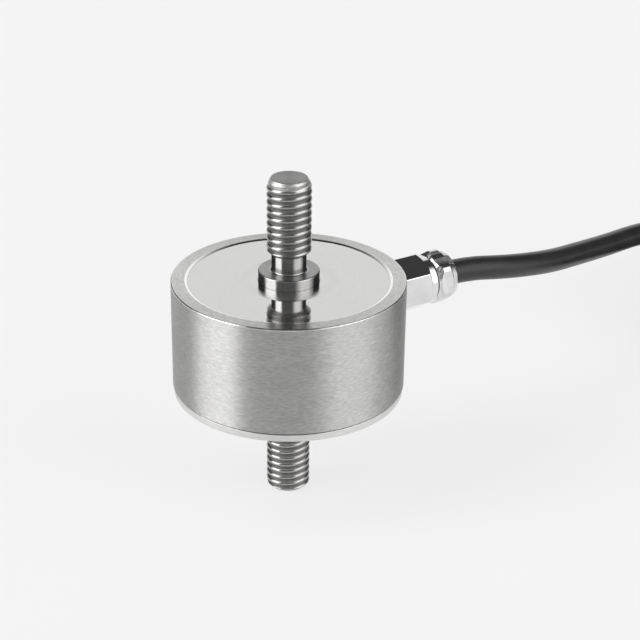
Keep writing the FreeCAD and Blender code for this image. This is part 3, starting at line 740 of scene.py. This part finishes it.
def onCoil(degrees, radius, height):
    # a place by its angle and distance from the coil's axis
    angle = math.radians(degrees)
    middle = cable["coilMiddle"]
    return (middle[0] + radius * math.cos(angle), middle[1] + radius * math.sin(angle), height)


def cordCurve(name, points, diameter, paint, sides=10):
    # a round cord along a smooth curve that the points pull
    curve = bpy.data.curves.new(name, "CURVE")
    curve.dimensions = "3D"
    spline = curve.splines.new("NURBS")
    spline.points.add(len(points) - 1)
    for point, place in zip(spline.points, points):
        point.co = (*(Vector(place) * mm), 1)
    spline.order_u = 3
    spline.use_endpoint_u = True
    curve.resolution_u = 6
    curve.bevel_depth = diameter / 2 * mm
    curve.bevel_resolution = sides
    curve.use_fill_caps = True
    curve.materials.append(paints[paint])
    piece = bpy.data.objects.new(name, curve)
    bpy.context.scene.collection.objects.link(piece)
    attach(piece, "root")
    return piece


def makeCable():
    # the route as listed, so many points a turn of the winding, and the tail on the coil's shelf
    points = list(cable["route"])
    step = 360 / cable["pointsPerTurn"]
    outward = 1 / math.cos(math.radians(step / 2))  # the spline runs inside its control points
    travel = step / 2
    while travel < cable["wound"]:
        radius, height = coilPoint(travel)
        tailPart = eased(travel, cable["wound"] - cable["tailSwing"])
        radius += (cable["tailRadius"] - radius) * tailPart
        height += (cable["tailHeight"] - height) * tailPart
        points.append(onCoil(cable["startAngle"] - travel, radius * outward, height))
        travel += step
    points.append(onCoil(cable["tailAngle"], cable["tailRadius"], cable["tailHeight"]))
    return cordCurve("cable", points, cable["diameter"], "cableBlack")


cableCurve = makeCable()
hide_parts("cable_run", "cable_coil", "cable_tail")

# a place is degrees round the coil, distance from its axis and height above the shelf of its lower turns;
# a tip's degrees and distance count from the lead's last place; shrink is how much and how fast it fades
# along the sleeve, ripple how much and how many times
freeEnd = {
    "shelf": 7.6, "coreDiameter": 0.72, "wireDiameter": 0.34, "sleeveRadius": 2.0, "sleeveColumns": 48,
    "sleeve": [(14, 14.0, 2.05), (-12, 13.85, 2.05)],
    "sleeveRows": [0, 0.01, 0.04, 0.1, 0.2, 0.35, 0.5, 0.65, 0.8, 0.9, 0.96, 0.99, 1.0],
    "nearShrink": (0.12, 18), "farShrink": (0.35, 9), "ripple": (0.04, 3),
    "lead_red": [
        (-10, 13.1, 2.3), (-18, 12.9, 1.9), (-26, 12.8, 0.9), (-36, 12.8, 0.42), (-47, 12.85, 0.42),
    ],
    "lead_green": [
        (-10, 13.6, 1.6), (-19, 13.65, 1.3), (-28, 13.7, 0.5), (-37, 13.7, 0.42), (-49, 13.7, 0.42),
    ],
    "lead_black": [
        (-10, 14.4, 1.7), (-18, 14.5, 1.2), (-27, 14.55, 0.5), (-36, 14.6, 0.42), (-44, 14.6, 0.42),
    ],
    "lead_white": [
        (-10, 14.6, 2.5), (-18, 15.1, 2.1), (-26, 15.4, 1.0), (-34, 15.45, 0.42), (-42, 15.45, 0.42),
    ],
    "tip": [(2, 0, 0.42), (-6, 0, 0.42), (-13, 0.1, 0.2)],
}


def shelfPoint(degrees, radius, height):
    return onCoil(degrees, radius, freeEnd["shelf"] + height)


def makeSleeve():
    # a shrunk sleeve along the winding: rings round an arc, smaller by an exponential towards both ends and
    # by the square of a sine between them
    (first, radius, height), (last, endRadius, _) = freeEnd["sleeve"]
    part = np.array(freeEnd["sleeveRows"])
    turn = np.radians(first + (last - first) * part)
    reach = radius + (endRadius - radius) * part
    outward = np.stack([np.cos(turn), np.sin(turn), 0 * turn], -1)
    centre = np.array([*cable["coilMiddle"], freeEnd["shelf"] + height]) + outward * reach[:, None]
    (near, nearFade), (far, farFade) = freeEnd["nearShrink"], freeEnd["farShrink"]
    ripple, ripples = freeEnd["ripple"]
    shrink = near * np.exp(-part * nearFade) + far * np.exp(-(1 - part) * farFade)
    shrink += ripple * np.sin(part * math.pi * ripples) ** 2
    angle = evenly(freeEnd["sleeveColumns"])
    upward = np.array([0, 0, 1])
    ring = np.cos(angle)[None, :, None] * outward[:, None, :] + np.sin(angle)[None, :, None] * upward
    points = centre[:, None, :] + ring * (freeEnd["sleeveRadius"] - shrink)[:, None, None]
    points = np.concatenate([points.reshape(-1, 3), centre[[0, -1]]])
    faces = gridFaces(len(part), len(angle), False)
    faces += fan(len(part) * len(angle), 0, len(angle), False)
    faces += fan(len(part) * len(angle) + 1, (len(part) - 1) * len(angle), len(angle), True)
    piece = newPiece("endSleeve", points, faces, "softSealAndShade")
    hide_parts("end_sleeve")
    return piece


def makeLeads():
    # four cores with tinned tips that bend down to the shelf
    made = []
    for colour in ("red", "green", "black", "white"):
        places = freeEnd["lead_" + colour]
        title = colour.capitalize()
        points = [shelfPoint(*place) for place in places]
        lead = cordCurve("lead" + title, points, freeEnd["coreDiameter"], "core" + title, 4)
        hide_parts("lead_" + colour)
        degrees, radius, _ = places[-1]
        places = [shelfPoint(degrees + on, radius + out, height) for on, out, height in freeEnd["tip"]]
        tip = cordCurve("tip" + title, places, freeEnd["wireDiameter"], "tinnedWire", 3)
        made += [lead, tip]
    return made


sleeve = makeSleeve()
leads = makeLeads()


def dressed(node, name, paint, bevel):
    # a plain CAD node with softened edges
    mesh, shape = mergedCopy(node)
    bmesh.ops.dissolve_limit(shape, angle_limit=math.radians(2), verts=shape.verts, edges=shape.edges)
    shape.to_mesh(mesh)
    shape.free()
    piece = placed(name, mesh, paint)
    softened = piece.modifiers.new("softened", "BEVEL")
    softened.width = bevel * mm
    softened.segments = 2
    softened.limit_method = "ANGLE"
    softened.angle_limit = crispAngle
    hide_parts(node)
    return piece


ties = [
    dressed("coil_tie_%d" % number, "coilTie%d" % number, "tieNylon", 0.12)
    for number in (1, 2)
]
print("cable, free end and ties made")

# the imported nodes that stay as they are, with a finish of their own
nodePaints = {
    "collar_seal": "softSealAndShade", "gland_seal": "softSealAndShade",
    "clamp_ring": "glandNickel", "cable_entry": "cableBlack",
    "circuit_board": "boardGreen", "gauge_ribbons": "ribbonCopper",
    "zero_resistor": "chipBlack", "span_resistor": "chipBlack", "temperature_resistor": "chipBlack",
    "core_red": "coreRed", "core_white": "coreWhite", "core_green": "coreGreen", "core_black": "coreBlack",
    "strain_gauge_1": "gaugeFilm", "strain_gauge_2": "gaugeFilm",
    "strain_gauge_3": "gaugeFilm", "strain_gauge_4": "gaugeFilm",
}
for name, paint in nodePaints.items():
    for place in nodes[name].material_slots:
        place.material = paints[paint]

# the studio as the steel reflects it: azimuths are degrees from the camera's side towards the picture's
# right, heights degrees above the floor; level 1 is as bright as white paper
studio = {
    "floor": 0.96, "floorGlow": 0.93, "glowShare": 0.78, "dark": 0.05, "footSoft": 1,
    "panels": [
        {"from": -94, "to": -48.5, "enter": 6, "leave": 2, "low": -4, "high": 55, "top": 8, "level": 3.4},
        {"from": -54, "to": 36, "enter": 4, "leave": 11, "low": -4, "high": 55, "top": 10, "level": 0.22},
        {"from": 36, "to": 93, "enter": 11, "leave": 15, "low": -4, "high": 52, "top": 8, "level": 2.1},
        {"from": 159, "to": 201, "enter": 4, "leave": 4, "low": -10, "high": 46, "top": 6, "level": 0.99},
    ],
    "lamps": [
        {"name": "leftLamp", "around": -80, "up": 62, "far": 900, "wide": 500, "high": 500, "level": 1.4},
        {"name": "topLamp", "around": 130, "up": 74, "far": 900, "wide": 900, "high": 900, "level": 0.6},
    ],
}


def direction(around, up):
    # the way from the object to an azimuth and a height
    flat, rise = math.radians(around), math.radians(up)
    level = toCamera * math.cos(flat) + toRight * math.sin(flat)
    return level * math.cos(rise) + Vector((0, 0, math.sin(rise)))


def makeLamp(lamp):
    # an area light that lights the floor and the object, and shows in no reflection
    light = bpy.data.lights.new(lamp["name"], "AREA")
    light.shape = "RECTANGLE"
    light.size = lamp["wide"] * mm
    light.size_y = lamp["high"] * mm
    light.energy = lamp["level"] * math.pi * light.size * light.size_y
    holder = bpy.data.objects.new(lamp["name"], light)
    bpy.context.scene.collection.objects.link(holder)
    way = direction(lamp["around"], lamp["up"])
    facing = way.to_track_quat("Z", "Y").to_matrix().to_4x4()
    holder.matrix_world = Matrix.Translation(way * lamp["far"] * mm) @ facing
    holder.visible_camera = False
    holder.visible_glossy = False


def makeFloor():
    # white paper; the camera and reflections see part of its light as an even glow
    side = 3.0
    mesh = bpy.data.meshes.new("floor")
    corners = [(-side, -side, 0), (side, -side, 0), (side, side, 0), (-side, side, 0)]
    mesh.from_pydata(corners, [], [(0, 1, 2, 3)])
    floor = bpy.data.objects.new("floor", mesh)
    bpy.context.scene.collection.objects.link(floor)
    material = bpy.data.materials.new("palePaper")
    material.use_nodes = True
    paint = Paint(material.node_tree)
    paper = paint.make("ShaderNodeBsdfDiffuse", {}, {"Color": (studio["floor"],) * 3 + (1,)})
    glow = paint.make("ShaderNodeEmission", {}, {"Color": (1, 1, 1, 1), "Strength": studio["floorGlow"]})
    rays = paint.make("ShaderNodeLightPath", {}, {})
    cameraRay, glossyRay = (Value(paint, rays.outputs[kind]) for kind in ("Is Camera Ray", "Is Glossy Ray"))
    glowing = (cameraRay + glossyRay).clipped() * studio["glowShare"]
    mixed = paint.make("ShaderNodeMixShader", {}, {0: glowing, 1: paper.outputs[0], 2: glow.outputs[0]})
    paint.make("ShaderNodeOutputMaterial", {}, {"Surface": mixed.outputs[0]})
    mesh.materials.append(material)


def makeWorld():
    # soft-edged panels of light round a dim room, by azimuth and height
    world = bpy.data.worlds.new("studio")
    bpy.context.scene.world = world
    world.use_nodes = True
    paint = Paint(world.node_tree)
    x, y, z = paint.parts(paint.make("ShaderNodeTexCoord", {}, {}, "Generated"))
    towards = x * toCamera.x + y * toCamera.y
    rightwards = x * toRight.x + y * toRight.y
    around = rightwards.math("ARCTAN2", rightwards, towards) * (180 / math.pi)
    up = z.math("ARCSINE", z) * (180 / math.pi)
    level = None
    for panel in studio["panels"]:
        for turn in (0, -360):
            if panel["to"] + turn < -180:
                continue
            first, last, top = panel["from"] + turn, panel["to"] + turn, panel["top"]
            enter = paint.spread(around, first - panel["enter"], first + panel["enter"])
            leave = paint.spread(around, last - panel["leave"], last + panel["leave"])
            above = paint.spread(up, panel["low"] - studio["footSoft"], panel["low"] + studio["footSoft"])
            past = paint.spread(up, panel["high"] - top, panel["high"] + top)
            share = enter * (1 - leave) * above * (1 - past) * (panel["level"] - studio["dark"])
            level = share if level is None else level + share
    level = level + studio["dark"]
    shade = paint.make("ShaderNodeBackground", {}, {"Color": (1, 1, 1, 1), "Strength": level})
    paint.make("ShaderNodeOutputWorld", {}, {"Surface": shade.outputs[0]})


makeFloor()
makeWorld()
for lamp in studio["lamps"]:
    makeLamp(lamp)
bpy.context.scene.view_settings.view_transform = "Standard"
print("studio made")
